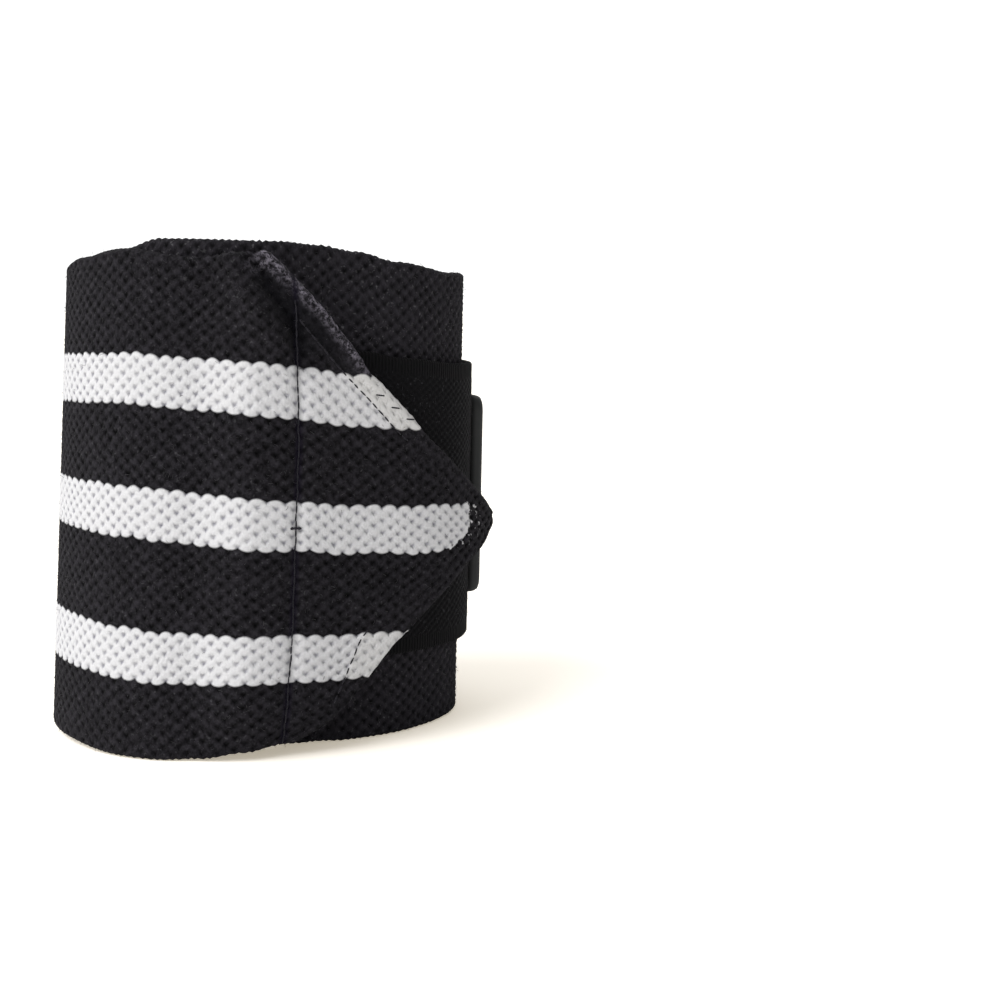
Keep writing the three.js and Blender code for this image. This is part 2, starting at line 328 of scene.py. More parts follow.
def uneven(u, v, seed, size=1.6):
    """Smooth random values from -1 to 1 over the cloth, that change from one loop to the next."""
    wide, high = 512, 64
    rolls = np.random.default_rng(seed).uniform(-1, 1, (wide, high))
    i, j = np.floor(u / size).astype(int), np.floor(v / size).astype(int)
    s, t = smooth(u / size - i), smooth(v / size - j)
    near = rolls[i % wide, j % high] * (1 - s) + rolls[(i + 1) % wide, j % high] * s
    far = rolls[i % wide, (j + 1) % high] * (1 - s) + rolls[(i + 1) % wide, (j + 1) % high] * s
    return near * (1 - t) + far * t


def crests_on_loops(row):
    """Whether a stripe's upper border crests at whole loops. If not, it does half a loop further on."""
    half_height = 1.75
    top = row + half_height
    return abs(top - round(top)) < 0.1


def stripe_cover(u, v):
    """1 on the white stripes and 0 between them, with scalloped borders a loop wide."""
    cover = np.zeros(np.broadcast(u, v).shape)
    for row in STRIPE_ROWS:
        top_phase = 0.0 if crests_on_loops(row) else 0.5
        top = row + STRIPE_HALF + STRIPE_SCALLOP * np.abs(np.cos(np.pi * (u - top_phase)))
        bottom = row - STRIPE_HALF - STRIPE_SCALLOP * np.abs(np.sin(np.pi * (u - top_phase)))
        below_top = smooth((top - v) / STRIPE_BLUR + 0.5)
        cover = np.maximum(cover, below_top * smooth((v - bottom) / STRIPE_BLUR + 0.5))
    return cover


def band_section(angle, across):
    """Where the band's edges and faces lie at angles and heights across it, and where it is folded."""
    reach = np.clip((angle - FOLD_START) / (TIP_ANGLE - FOLD_START), 0, 1)
    risen = smooth((angle - RISE_START) / (FOLD_START - RISE_START))
    folded = smooth((angle - FOLD_START) / (DOUBLE_FROM - FOLD_START))
    beside = np.abs(across - STRAP_HEIGHT) - STRAP_WIDTH / 2 - STRAP_MARGIN
    raised = STRAP_STACK * risen * (1 - smooth(beside / STRAP_SHOULDER))
    lift = BAND_THICKNESS * risen
    return {
        "low": BAND_WIDTH * np.interp(reach, POINT_EDGES["reach"], POINT_EDGES["lower"]),
        "high": BAND_WIDTH * np.interp(reach, POINT_EDGES["reach"], POINT_EDGES["upper"]),
        "outer": lift + raised,
        "inner": lift + raised - BAND_THICKNESS * (1 + folded),
        "folded": folded,
    }


def hem_end(side, length):
    """Height across the band at which the upper or lower hem ends, at lengths past the fold's start."""
    return np.interp(length, HEM_ENDS[side]["length"], HEM_ENDS[side]["across"])


def seam_length(across):
    """Length past the fold's start at which the seam lies, at heights across the band."""
    return np.interp(across, SEAM_LINE["across"], SEAM_LINE["length"])


def hem_cover(length, across):
    """1 where the point's cloth is doubled by a folded-under hem and 0 elsewhere."""
    blend, lower_share = 1.2, 0.6
    above = smooth((across - hem_end("upper", length)) / blend + 0.5)
    below = smooth((hem_end("lower", length) - across) / blend + 0.5)
    return np.where(length > 0, np.maximum(above, lower_share * below), 0.0)


def bell(x, height, centre, width):
    return height * np.exp(-(((x - centre) / width) ** 2))


def flat_ring(low, high, edge, outer_rows, inner_rows, rim_rows):
    """A flat ring's heights, up its outer face and down its inner one, and 1 to -1 from face to face."""
    rim = np.radians(np.linspace(90, -90, rim_rows + 2)[1:-1])
    body = high - low - 2 * edge
    across = np.concatenate([
        low + edge + body * np.linspace(0, 1, outer_rows),
        high - edge + edge * np.cos(rim),
        low + edge + body * np.linspace(1, 0, inner_rows),
        low + edge - edge * np.cos(rim),
    ], axis=-1)
    depth = np.concatenate([np.ones(outer_rows), np.sin(rim), -np.ones(inner_rows), -np.sin(rim)])
    return across, depth[None]


def band_rings(turns, outer_rows, inner_rows, relief, inner_relief):
    """The rings of a stretch of the band, its cloth coordinates and the values that materials read."""
    sizes = band_section(turns, np.full_like(turns, BAND_WIDTH / 2))
    length = np.interp(turns, TRACE, traced(POINT_LIFT))
    low, high, folded = sizes["low"], sizes["high"], sizes["folded"]
    high = high - np.interp(length, CORNER["length"], CORNER["drop"], left=0, right=0)
    # Each edge is rounded by twice as much where the cloth is double.
    edge = np.minimum(EDGE_ROUNDING + EDGE_ROUNDING * folded, (high - low) / 4)
    a, lo, hi = turns[:, None], low[:, None], high[:, None]
    across, depth = flat_ring(lo, hi, edge[:, None], outer_rows, inner_rows, rim_rows=7)
    here = band_section(np.broadcast_to(a, across.shape), across)
    middle = (here["outer"] + here["inner"]) / 2
    half = (here["outer"] - here["inner"]) / 2
    u = np.broadcast_to((length / CELL_WIDTH)[:, None], across.shape)
    v = across / CELL_HEIGHT
    stray = STRAY_ACROSS * uneven(u, v, 4)
    together = STRAY_TOGETHER * uneven(u, v, 5, 7.0)
    u, v = u + STRAY_ALONG * uneven(u, v, 3), v + stray + together
    stretched = smooth((turns - LOOSE_UNTIL) / (STRETCHED_FROM - LOOSE_UNTIL))
    loose = np.broadcast_to(1 - stretched[:, None], across.shape)
    reach = np.broadcast_to(length[:, None], across.shape)
    hem = hem_cover(reach, across)
    seam = reach - seam_length(across)
    white = stripe_cover(u, v)
    bump = knit_relief(u, v, loose) * (1 - (HEM_FLATTER + WHITE_HEM_FLATTER * white) * hem)
    # Along the top of the point the hem is rolled over, with painted shade beside it.
    from_top = np.where(reach > -4, hi - across, 40.0)
    rolled = smooth(1.35 - from_top / ROLL_WIDTH)
    rolled = rolled * smooth((reach + 4) / 4) * (1 - smooth((reach - 15) / 7))
    shaded = smooth((from_top - 2.0) / 1.6) * hem * smooth(reach / 2) * (1 - smooth((reach - 10) / 6))
    out = middle + half * depth
    out = out + np.where(depth == 1, relief * (bump + STRIPE_RISE * white), 0.0)
    out = out - np.where(depth == -1, inner_relief * knit_relief(u, v, 1.0), 0.0)
    # The seam draws the cloth in. A crease runs down to it from the top corner, with a bulge before it.
    shape = bell(seam, *SEAM_VALLEY) + bell(seam, *SEAM_GROOVE)
    past = reach - np.interp(across, CREASE["across"], CREASE["length"])
    near_top = smooth((across - CREASE_FROM) / CREASE_FADE)
    shape = shape + near_top * (bell(past, *CREASE_BULGE) + bell(past, *CREASE_GROOVE))
    # Painted shade in the colour along the crease and beside the rolled hem, much weaker on the rolled
    # hem itself.
    painted_crease_shade = np.maximum(near_top * bell(past, *CREASE_SHADE), 0.75 * shaded) * (1 - 0.8 * rolled)
    rough = uneven(u * 3.0, v * 2.4, 6, 1.0)
    shape = shape + HEM_RISE * hem * smooth(reach / FOLD_STEP)
    shape = shape + (ROLL_RISE + ROLL_ROUGHNESS * rough) * rolled
    out = out + np.where(depth > 0, shape, 0.0) * smooth((depth + 0.2) / 1.2)
    # The rims are bumpy too, by half a loop's width.
    beads = 0.5 + 0.5 * np.cos(4 * np.pi * u) * (1 + 0.5 * uneven(u, v, 7))
    rim_side = np.where(np.abs(depth) < 1, np.where(across > (lo + hi) / 2, 1.0, -1.0), 0.0)
    swell = RIM_BEADS * (beads - 0.6) * np.sqrt(1 - np.clip(np.abs(depth), 0, 1) ** 2)
    across = across + rim_side * swell
    points = placed(wound(a, np.maximum(across, 0.02), out))
    # The turn under the strap is plain black, so its stripes end where the strap begins.
    covered = smooth((turns - STRAP_ROOT + 8) / 3) * (1 - smooth((turns - STRAP_END + 5) / 3))
    values = {
        "loose": loose,
        "hem": hem,
        "seam": seam,
        "reach": reach,
        "painted_crease_shade": painted_crease_shade,
        "open": np.where(depth > -0.2, 1.0, 0.0) * (1 - 0.9 * white),
        "rolled": rolled * np.ones(across.shape),
        "striped": np.broadcast_to(1 - covered[:, None], across.shape),
    }
    return points, np.stack([u, v], axis=-1), values


class Nodes:
    """Short calls for the nodes of one tree."""

    def __init__(self, tree):
        self.tree = tree

    def add(self, kind, inputs=None, **settings):
        node = self.tree.nodes.new(kind)
        for key, value in settings.items():
            setattr(node, key, value)
        for key, value in (inputs or {}).items():
            self.join(value, node.inputs[key])
        return node

    def join(self, value, socket):
        if isinstance(value, bpy.types.NodeSocket):
            self.tree.links.new(value, socket)
        else:
            socket.default_value = value

    def math(self, operation, *values, clamp=False):
        node = self.add("ShaderNodeMath", dict(enumerate(values)), operation=operation)
        node.use_clamp = clamp
        return node.outputs[0]

    def line(self, value, slope, start):
        """The value times a slope, plus a start."""
        return self.math("MULTIPLY_ADD", value, slope, start)

    def ramp(self, value, slope, start):
        """The same straight line, held between 0 and 1."""
        return self.math("MULTIPLY_ADD", value, slope, start, clamp=True)

    def times(self, first, second):
        return self.math("MULTIPLY", first, second)

    def less(self, first, second):
        return self.math("SUBTRACT", first, second)

    def mix(self, share, first, second):
        node = self.add("ShaderNodeMix", data_type="RGBA")
        for value, socket in ((share, 0), (first, 6), (second, 7)):
            self.join(value, node.inputs[socket])
        return node.outputs[2]

    def noise(self, vector, scale, detail=2.0, roughness=0.5):
        node = self.add("ShaderNodeTexNoise", {"Scale": scale, "Detail": detail, "Roughness": roughness})
        self.join(vector, node.inputs["Vector"])
        return node.outputs[0]

    def value(self, name):
        return self.add("ShaderNodeAttribute", attribute_name=name).outputs["Fac"]

    def parts(self, vector):
        return self.add("ShaderNodeSeparateXYZ", {0: vector}).outputs

    def place(self):
        return self.add("ShaderNodeTexCoord").outputs["Object"]

    def cells(self):
        return self.add("ShaderNodeUVMap", uv_map="cloth").outputs[0]

    def group(self, kind, inputs):
        return self.add("ShaderNodeGroup", inputs, node_tree=node_group(*kind)).outputs

    def random(self, seed, low, high):
        """A random number or vector for each point, between two limits of its kind."""
        kind, first, out = ("FLOAT_VECTOR", 0, 0) if isinstance(low, tuple) else ("FLOAT", 2, 1)
        limits = {first: low, first + 1: high, "Seed": seed}
        return self.add("FunctionNodeRandomValue", limits, data_type=kind).outputs[out]

    def turned(self, rotation, tilt):
        both = {0: rotation, 1: tilt}
        return self.add("FunctionNodeRotateRotation", both, rotation_space="LOCAL").outputs[0]

    def spread(self, points, shape, rotation, size, material, put):
        """Sets a shape on points, makes the copies real, gives them their material and puts them out."""
        copies = self.add("GeometryNodeInstanceOnPoints", {
            "Points": points, "Instance": shape, "Rotation": rotation, "Scale": size})
        real = self.add("GeometryNodeRealizeInstances", {0: copies.outputs[0]})
        wear_and_highlight = self.add("GeometryNodeSetMaterial", {"Geometry": real.outputs[0], "Material": material})
        self.join(wear_and_highlight.outputs[0], put)


def node_group(name, kind, inputs, outputs, fill):
    """The node group of that name. The first call makes its sockets and fills in its nodes."""
    if name not in bpy.data.node_groups:
        tree = bpy.data.node_groups.new(name, kind)
        for side, sockets in (("INPUT", inputs), ("OUTPUT", outputs)):
            for key, socket in sockets.items():
                tree.interface.new_socket(name=key, in_out=side, socket_type="NodeSocket" + socket)
        nodes = Nodes(tree)
        fill(nodes, nodes.add("NodeGroupInput").outputs, nodes.add("NodeGroupOutput").inputs)
    return bpy.data.node_groups[name]


def fill_loops(n, given, put):
    """The lattice of a knit's loops: Height is its relief from 0 to 1, and Pit is 1 in the holes."""
    u, v, _ = n.parts(given["Cells"])
    along = n.times(u, 2 * math.pi)
    bend = n.math("ABSOLUTE", n.math("SINE", along))
    bent = n.line(bend, -LOOP_BEND, v)
    upward = n.math("COSINE", n.times(bent, 2 * math.pi))
    g = n.times(n.math("COSINE", along), upward)
    deep = n.line(g, -0.5, 0.5)
    loose, tight = given["Loose"], n.less(1.0, given["Loose"])
    bump = n.math("POWER", n.line(g, 0.5, 0.5), 1.4)
    flat = n.times(n.less(1.0, n.math("POWER", deep, 4.0)), tight)
    n.join(n.line(bump, loose, flat), put["Height"])
    wide = n.times(n.math("POWER", deep, 1.6), loose)
    narrow = n.times(n.math("POWER", deep, 4.5), tight)
    n.join(n.math("ADD", wide, narrow), put["Pit"])
    n.join(n.math("POWER", deep, 1.7), put["Hollow"])


LOOPS = ("loop_lattice", "ShaderNodeTree", {"Cells": "Vector", "Loose": "Float"},
         {"Height": "Float", "Pit": "Float", "Hollow": "Float"}, fill_loops)


def fill_yarn(n, given, put):
    """Fine yarn: Height is the relief of fibres, Tone a light and dark mottle of them, and the third
    output the light specks, partly light fibres and partly painted glints.
    """
    fibre = n.noise(given["Vector"], given["Scale"], detail=3.0, roughness=0.7)
    coarse = n.noise(given["Vector"], n.times(given["Scale"], 0.12), detail=2.0)
    speck = n.noise(given["Vector"], n.times(given["Scale"], 0.7), detail=1.0)
    n.join(fibre, put["Height"])
    n.join(n.ramp(n.less(coarse, 0.5), 1.6, 0.5), put["Tone"])
    n.join(n.math("MULTIPLY", n.less(speck, 0.64), 9.0, clamp=True), put["SpeckAndGlint"])


YARN = ("yarn_fuzz", "ShaderNodeTree", {"Vector": "Vector", "Scale": "Float"},
        {"Height": "Float", "Tone": "Float", "SpeckAndGlint": "Float"}, fill_yarn)


def new_material(name, roughness, sheen=0.0, specular=0.5):
    material = bpy.data.materials.new(name)
    material.use_nodes = True
    nodes = Nodes(material.node_tree)
    shader = material.node_tree.nodes["Principled BSDF"].inputs
    shader["Roughness"].default_value = roughness
    shader["Sheen Weight"].default_value = sheen
    shader["Sheen Roughness"].default_value = 0.5
    shader["Specular IOR Level"].default_value = specular
    return material, nodes, shader


def raise_relief(n, shader, height, distance):
    bump = n.add("ShaderNodeBump", {"Height": height, "Distance": distance})
    n.join(bump.outputs["Normal"], shader["Normal"])


def tinted(colour, gain):
    return (*[c * gain for c in colour], 1)


def knit_material(looks):
    """The band's black knit with its three white stripes, which read the cloth's own coordinates."""
    material, n, shader = new_material("striped_knit", 0.92, sheen=0.015, specular=0.07)
    cells, place = n.cells(), n.place()
    loose, hem, reach, seam = (n.value(k) for k in ("loose", "hem", "reach", "seam"))
    loops = n.group(LOOPS, {"Cells": cells, "Loose": loose})
    yarn = n.group(YARN, {"Scale": KNIT_YARN, "Vector": place})
    u, v, _ = n.parts(cells)
    waves = {k: n.math("ABSOLUTE", n.math(k, n.times(u, math.pi))) for k in ("COSINE", "SINE")}
    stripes = None
    for row in STRIPE_ROWS:
        top_wave, low_wave = ("COSINE", "SINE") if crests_on_loops(row) else ("SINE", "COSINE")
        top = n.line(waves[top_wave], STRIPE_SCALLOP, row + STRIPE_HALF)
        low = n.line(waves[low_wave], -STRIPE_SCALLOP, row - STRIPE_HALF)
        stripe = n.times(n.ramp(n.less(top, v), 7.0, 0.5), n.ramp(n.less(v, low), 7.0, 0.5))
        stripes = stripe if stripes is None else n.math("MAXIMUM", stripes, stripe)
    # The tip is bound with black thread. The stripes end there in a ragged line with loose white ends.
    ragged = n.line(n.noise(place, 700.0), 6.0, -3.0)
    # Below the middle of the stripe the binding starts earlier.
    notch = n.times(n.ramp(v, -0.8, 14.1), 5.5)
    at = n.math("ADD", n.math("ADD", reach, notch), ragged)
    past = n.less(at, POINT_LENGTH - looks.tip_binding / MM)
    unbound = n.ramp(past, -2.0, 0.5)
    strays = n.ramp(n.noise(place, 1300.0), 14.0, -8.4)
    near_tip = n.ramp(past, -0.25, 1.4)
    unbound = n.math("MAXIMUM", unbound, n.times(strays, near_tip))
    white = n.times(n.times(stripes, unbound), n.value("striped"))
    black, light = looks.knit_colour, looks.stripe_colour
    fibre = n.ramp(yarn["Height"], 2.6, -0.8)
    clumps = n.ramp(n.noise(place, 1100.0, 2.0, 0.6), 4.5, -1.9)
    dark = n.mix(fibre, tinted(black, 0.2), tinted(black, 1.7))
    for what, share, gain in ((clumps, 0.75, 2.6), (yarn["Tone"], 0.25, 1.6), (loose, 0.35, 3.2)):
        dark = n.mix(n.times(what, share), dark, tinted(black, gain))
    rolled = n.value("rolled")
    # Painted highlight: the rolled hem is lit, so its tufts and the tops of its loops are painted light
    # grey in patches.
    tufts = n.ramp(n.noise(place, 1700.0, 3.0, 0.75), 6.0, -2.6)
    wear_and_highlight = n.times(n.times(rolled, tufts), n.line(loops["Height"], 0.7, 0.3))
    dark = n.mix(n.times(wear_and_highlight, 0.9), dark, tinted(black, 19.0))
    # Light specks, partly light fibres and partly painted glints, most of them on the rolled hem and the
    # loose turn.
    glint = n.line(rolled, 0.6, n.line(loose, 0.3, 0.2))
    dark = n.mix(n.times(yarn["SpeckAndGlint"], glint), dark, KNIT_SPECK_AND_GLINT)
    pale = n.mix(fibre, tinted(light, 0.86), tinted(light, 1.0))
    pale = n.mix(n.times(hem, 0.45), pale, HEM_WHITE)
    # The holes between the loops are painted dark with shade, uneven in depth, and shallower over the
    # hems.
    depth = n.ramp(n.noise(place, 330.0), 1.7, -0.05)
    closed = n.times(hem, n.line(white, WHITE_HEM_FLATTER, HEM_FLATTER))
    open_share = n.times(n.less(1.0, closed), depth)
    dark = n.mix(n.times(loops["Hollow"], open_share), dark, HOLE_SHADE_IN_BLACK)
    pale = n.mix(n.times(loops["Pit"], open_share), pale, HOLE_SHADE_IN_WHITE)
    colour = n.mix(white, dark, pale)
    # Painted shade in the valley along the seam, weaker on the white stripes.
    drawn = n.ramp(n.math("ABSOLUTE", seam), -1.1, 1.0)
    drawn = n.times(drawn, n.line(white, -0.55, 0.9))
    colour = n.mix(drawn, colour, SEAM_SHADE)
    # Painted shade in the crease and beside the rolled hem.
    colour = n.mix(n.times(n.value("painted_crease_shade"), 0.85), colour, CREASE_PAINTED_SHADE)
    n.join(colour, shader["Base Color"])
    raised = n.line(white, STRIPE_RISE, n.line(yarn["Height"], 0.6, loops["Height"]))
    raise_relief(n, shader, raised, 0.00032)
    return material


def tape_material(looks):
    """The strap's woven loop tape: fine ribs along both selvedges and small loops between them."""
    material, n, shader = new_material("loop_tape", 0.88, sheen=0.01, specular=0.06)
    x, y, _ = n.parts(n.cells())
    half = STRAP_WIDTH / 2
    from_edge = n.less(half, n.math("ABSOLUTE", n.less(y, half)))
    rib_share = n.ramp(from_edge, -1.2, 3.8)
    ribs = n.line(n.math("COSINE", n.times(x, 2 * math.pi / RIB_PITCH)), 0.5, 0.5)
    lattice = n.add("ShaderNodeCombineXYZ", {
        0: n.times(x, 1 / TAPE_LOOP[0]),
        1: n.times(y, 1 / TAPE_LOOP[1]),
    })
    loops = n.group(LOOPS, {"Cells": lattice.outputs[0], "Loose": TAPE_LOOSE})
    yarn = n.group(YARN, {"Scale": TAPE_YARN, "Vector": n.place()})
    weave = n.line(yarn["Height"], 0.5, loops["Height"])
    not_rib = n.less(1.0, rib_share)
    height = n.line(ribs, rib_share, n.times(weave, not_rib))
    # Painted shade: the tape is darker in the low places of its ribs and loops.
    colour = n.mix(height, tinted(looks.tape_colour, 0.5), tinted(looks.tape_colour, 1.0))
    # Light specks between the ribs, partly light fibres and partly painted glints.
    specks = n.times(yarn["SpeckAndGlint"], n.times(not_rib, 0.12))
    n.join(n.mix(specks, colour, TAPE_SPECK_AND_GLINT), shader["Base Color"])
    raise_relief(n, shader, height, 0.0002)
    return material


def rubber_material(looks):
    """The patch's moulded rubber: faintly mottled, with a fine grain."""
    material, n, shader = new_material("moulded_rubber", 0.58, specular=0.18)
    place = n.place()
    mottle = n.noise(place, 90.0, detail=3.0)
    grain = n.noise(place, 5200.0, detail=2.0)
    wear_and_highlight = n.noise(place, 420.0, detail=4.0, roughness=0.65)
    dull, light, lighter = (tinted(looks.rubber_colour, gain) for gain in (0.86, 1.14, 1.2))
    inward = n.value("inward")
    in_groove = n.ramp(n.math("ABSOLUTE", n.less(inward, 3.25)), -2.5, 2.3)
    on_rim = n.ramp(inward, -4.0, 9.6)
    colour = n.mix(n.times(on_rim, 0.35), n.mix(mottle, dull, light), lighter)
    colour = n.mix(n.times(in_groove, 0.8), colour, GROOVE_SHADE)
    n.join(colour, shader["Base Color"])
    n.join(n.line(wear_and_highlight, 0.22, 0.45), shader["Roughness"])
    raise_relief(n, shader, grain, 0.00003)
    return material


def thread_material(name, colour):
    """Twisted sewing thread."""
    material, n, shader = new_material(name, 0.7, sheen=0.1, specular=0.3)
    twist = n.noise(n.place(), 3000.0, detail=2.0)
    n.join(n.mix(twist, tinted(colour, 0.6), tinted(colour, 1.4)), shader["Base Color"])
    raise_relief(n, shader, twist, 0.00008)
    return material


def tie(obj, slot, *nodes):
    """Ties a finished piece to the frame, and hides the nodes of the solids that it stands for."""
    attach(obj, "root")
    if nodes:
        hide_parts(*nodes)


def dress(obj, material, slot, node):
    obj.data.materials.clear()
    obj.data.materials.append(material)
    tie(obj, slot, node)


def short_length(name, description, default, longest, precision):
    return bpy.props.FloatProperty(
        name=name, description=description, default=default, min=0, max=longest,
        subtype="DISTANCE", unit="LENGTH", precision=precision)


def colour_of(name, description, default):
    return bpy.props.FloatVectorProperty(
        name=name, description=description, default=default, min=0, max=1, subtype="COLOR")


class WrapLooks(bpy.types.PropertyGroup):
    """Sizes and colours of the wrist wrap's looks."""

    knit_relief: short_length("Knit relief", "Depth of the pits between loops", 0.00036, 0.001, 5)
    tip_binding: short_length("Tip binding", "Length of tip bound with thread", 0.0105, 0.02, 4)
    knit_colour: colour_of("Knit", "Colour of the band's dark knit", (0.0120, 0.0111, 0.0132))
    stripe_colour: colour_of("Stripes", "Colour of the band's white stripes", (0.70, 0.70, 0.71))
    tape_colour: colour_of("Strap", "Colour of the strap's loop tape", (0.0070, 0.0068, 0.0076))
    rubber_colour: colour_of("Patch", "Colour of the patch's rubber", (0.030, 0.031, 0.031))
    thread_colour: colour_of("Thread", "Colour of the dark sewing thread", (0.006, 0.005, 0.010))


class WRAP_OT_band(bpy.types.Operator):
    """Makes the wound elastic band with its folded point"""

    bl_idname = "wrap.band"
    bl_label = "Elastic band"

    def execute(self, context):
        looks = context.scene.wrap_looks
        relief = looks.knit_relief / MM
        knit = knit_material(looks)
        first, last = np.interp([JOIN_ANGLE, TIP_ANGLE], TRACE, traced(POINT_LIFT))
        count = int((last - first) / (CELL_WIDTH / RINGS_PER_LOOP))
        turns = np.interp(np.linspace(first, last, count), traced(POINT_LIFT), TRACE)
        rings = band_rings(turns, outer_rows=152, inner_rows=14, relief=relief, inner_relief=0.0)
        outer = closed_strip("band_outer_turn", *rings)
        turns = np.linspace(BAND_START, JOIN_ANGLE, 300)
        rings = band_rings(turns, outer_rows=40, inner_rows=90, relief=0.0, inner_relief=relief)
        inner = closed_strip("band_inner_turn", *rings)
        for obj in (outer, inner):
            dress(obj, knit, "knit", "elastic_band")
        return report(self, f"band: {len(outer.data.polygons)} and {len(inner.data.polygons)} faces")


class WRAP_OT_strap(bpy.types.Operator):
    """Makes the hook-and-loop strap"""

    bl_idname = "wrap.strap"
    bl_label = "Closure strap"

    def execute(self, context):
        looks = context.scene.wrap_looks
        low = STRAP_HEIGHT - STRAP_WIDTH / 2
        turns = np.linspace(STRAP_ROOT, STRAP_END, 270)
        y, depth = flat_ring(0.0, STRAP_WIDTH, TAPE_ROUNDING, outer_rows=110, inner_rows=10, rim_rows=3)
        across = low + y
        length = np.interp(turns, TRACE, traced(STRAP_OUTER))
        length = length - length[0]
        x, y = np.broadcast_arrays(length[:, None], across[None] - low)
        from_edge = np.minimum(y, STRAP_WIDTH - y)
        loops = smooth((from_edge - SELVEDGE) / 0.8)
        bumps = knit_relief(x / TAPE_LOOP[0], y / TAPE_LOOP[1], TAPE_LOOSE)
        relief = TAPE_RELIEF * loops * bumps + TAPE_RISE * loops
        middle = LAYER_GAP + STRAP_THICKNESS / 2
        out = middle + STRAP_THICKNESS / 2 * depth + np.where(depth == 1, relief, 0.0)
        points = placed(wound(turns[:, None], across[None], out))
        shown = np.where((depth > 0.5) & (from_edge > SELVEDGE), 1.0, 0.0)
        strap = closed_strip("loop_strap", points, np.stack([x, y], axis=-1), {"open": shown})
        dress(strap, tape_material(looks), "tape", "closure_strap")
        return report(self, f"strap: {len(strap.data.polygons)} faces")


def patch_lines(width, count):
    """Places across the patch: close together along the profile at both sides, and even between them."""
    steps = np.array(PATCH_PROFILE["inward"])
    flat = np.linspace(steps[-1], width - steps[-1], count)[1:-1]
    return np.concatenate([steps, flat, (width - steps)[::-1]])


def patch_grid():
    """The patch's flat grid: places along and across it, and distances in from its rounded outline."""
    x, y = np.meshgrid(patch_lines(PATCH_LENGTH, 92), patch_lines(PATCH_WIDTH, 24), indexing="ij")
    inward = np.minimum(np.minimum(x, PATCH_LENGTH - x), np.minimum(y, PATCH_WIDTH - y))
    # In a corner, the square grid is drawn in to arcs of a circle.
    right, upper = x > PATCH_LENGTH / 2, y > PATCH_WIDTH / 2
    a = PATCH_CORNER - np.where(right, PATCH_LENGTH - x, x)
    b = PATCH_CORNER - np.where(upper, PATCH_WIDTH - y, y)
    corner = (a > 0) & (b > 0)
    reach = np.maximum(a, b)
    turn = np.where(a >= b, b / np.where(a == 0, 1, a), 2 - a / np.where(b == 0, 1, b)) * math.pi / 4
    ax, by = reach * np.cos(turn), reach * np.sin(turn)
    x_new = np.where(right, PATCH_LENGTH - (PATCH_CORNER - ax), PATCH_CORNER - ax)
    y_new = np.where(upper, PATCH_WIDTH - (PATCH_CORNER - by), PATCH_CORNER - by)
    return np.where(corner, x_new, x), np.where(corner, y_new, y), inward


class WRAP_OT_patch(bpy.types.Operator):
    """Makes the rubber patch with its rim, stitch groove and bare middle"""

    bl_idname = "wrap.patch"
    bl_label = "Rubber patch"

    def execute(self, context):
        looks = context.scene.wrap_looks
        x, y, inward = patch_grid()
        lengths = traced(PATCH_INNER)
        start = np.interp(PATCH_START, TRACE, lengths)
        turns = np.interp(start + x, lengths, TRACE)
        low = STRAP_HEIGHT - PATCH_WIDTH / 2
        thick = np.interp(inward, PATCH_PROFILE["inward"], PATCH_PROFILE["thick"])
        top = placed(wound(turns, low + y, PATCH_INNER + thick))
        bottom = placed(wound(turns, low + y, np.full_like(x, PATCH_INNER)))
        nx, ny = x.shape
        i, j = np.meshgrid(np.arange(nx - 1), np.arange(ny - 1), indexing="ij")
        a, b = i * ny + j, (i + 1) * ny + j
        upper = np.stack([a, b, b + 1, a + 1], axis=-1).reshape(-1, 4)
        total = nx * ny
        lower = upper[:, ::-1] + total
        rim = [k * ny for k in range(nx)] + [(nx - 1) * ny + k for k in range(1, ny)]
        rim += [k * ny + ny - 1 for k in range(nx - 2, -1, -1)] + [k for k in range(ny - 2, 0, -1)]
        sides = [(p, p + total, q + total, q) for p, q in zip(rim, rim[1:] + rim[:1])]
        faces = [*upper, *lower, *sides]
        points = np.concatenate([top.reshape(-1, 3), bottom.reshape(-1, 3)])
        uv = np.tile(np.stack([x, y], axis=-1).reshape(-1, 2), (2, 1))
        inward_of = np.concatenate([inward.reshape(-1), np.zeros(total)])
        patch = mesh_object("rubber_badge", points, faces, uv, {"inward": inward_of})
        dress(patch, rubber_material(looks), "rubber", "rubber_patch")
        return report(self, f"patch: {len(faces)} faces")


def fill_stitches(n, given, put):
    """Geometry Nodes that lay stitches end to end along a line of edges."""
    line = n.add("GeometryNodeMeshToCurve", {"Mesh": given["Geometry"]}).outputs[0]
    steps = {"Curve": line, "Length": given["Pitch"]}
    even = n.add("GeometryNodeResampleCurve", steps, mode="LENGTH").outputs[0]
    ball = n.add("GeometryNodeMeshUVSphere", {"Segments": 8, "Rings": 6, "Radius": 1.0}).outputs[0]
    tangent = n.add("GeometryNodeInputTangent").outputs[0]
    aligned = n.add("FunctionNodeAlignRotationToVector", {"Vector": tangent}, axis="X").outputs[0]
    turn = n.times(n.random(7, -1.0, 1.0), given["Ragged"])
    tilt = n.add("FunctionNodeAxisAngleToRotation", {"Axis": (0, 0, 1), "Angle": turn}).outputs[0]
    half = n.times(given["Length"], 0.5)
    size = n.add("ShaderNodeCombineXYZ", {0: half, 1: given["Radius"], 2: given["Radius"]}).outputs[0]
    n.spread(even, ball, n.turned(aligned, tilt), size, given["Thread"], put[0])


STITCHES = ("stitches_along_line", "GeometryNodeTree", {
    "Geometry": "Geometry", "Pitch": "Float", "Length": "Float", "Radius": "Float",
    "Ragged": "Float", "Thread": "Material"}, {"Geometry": "Geometry"}, fill_stitches)


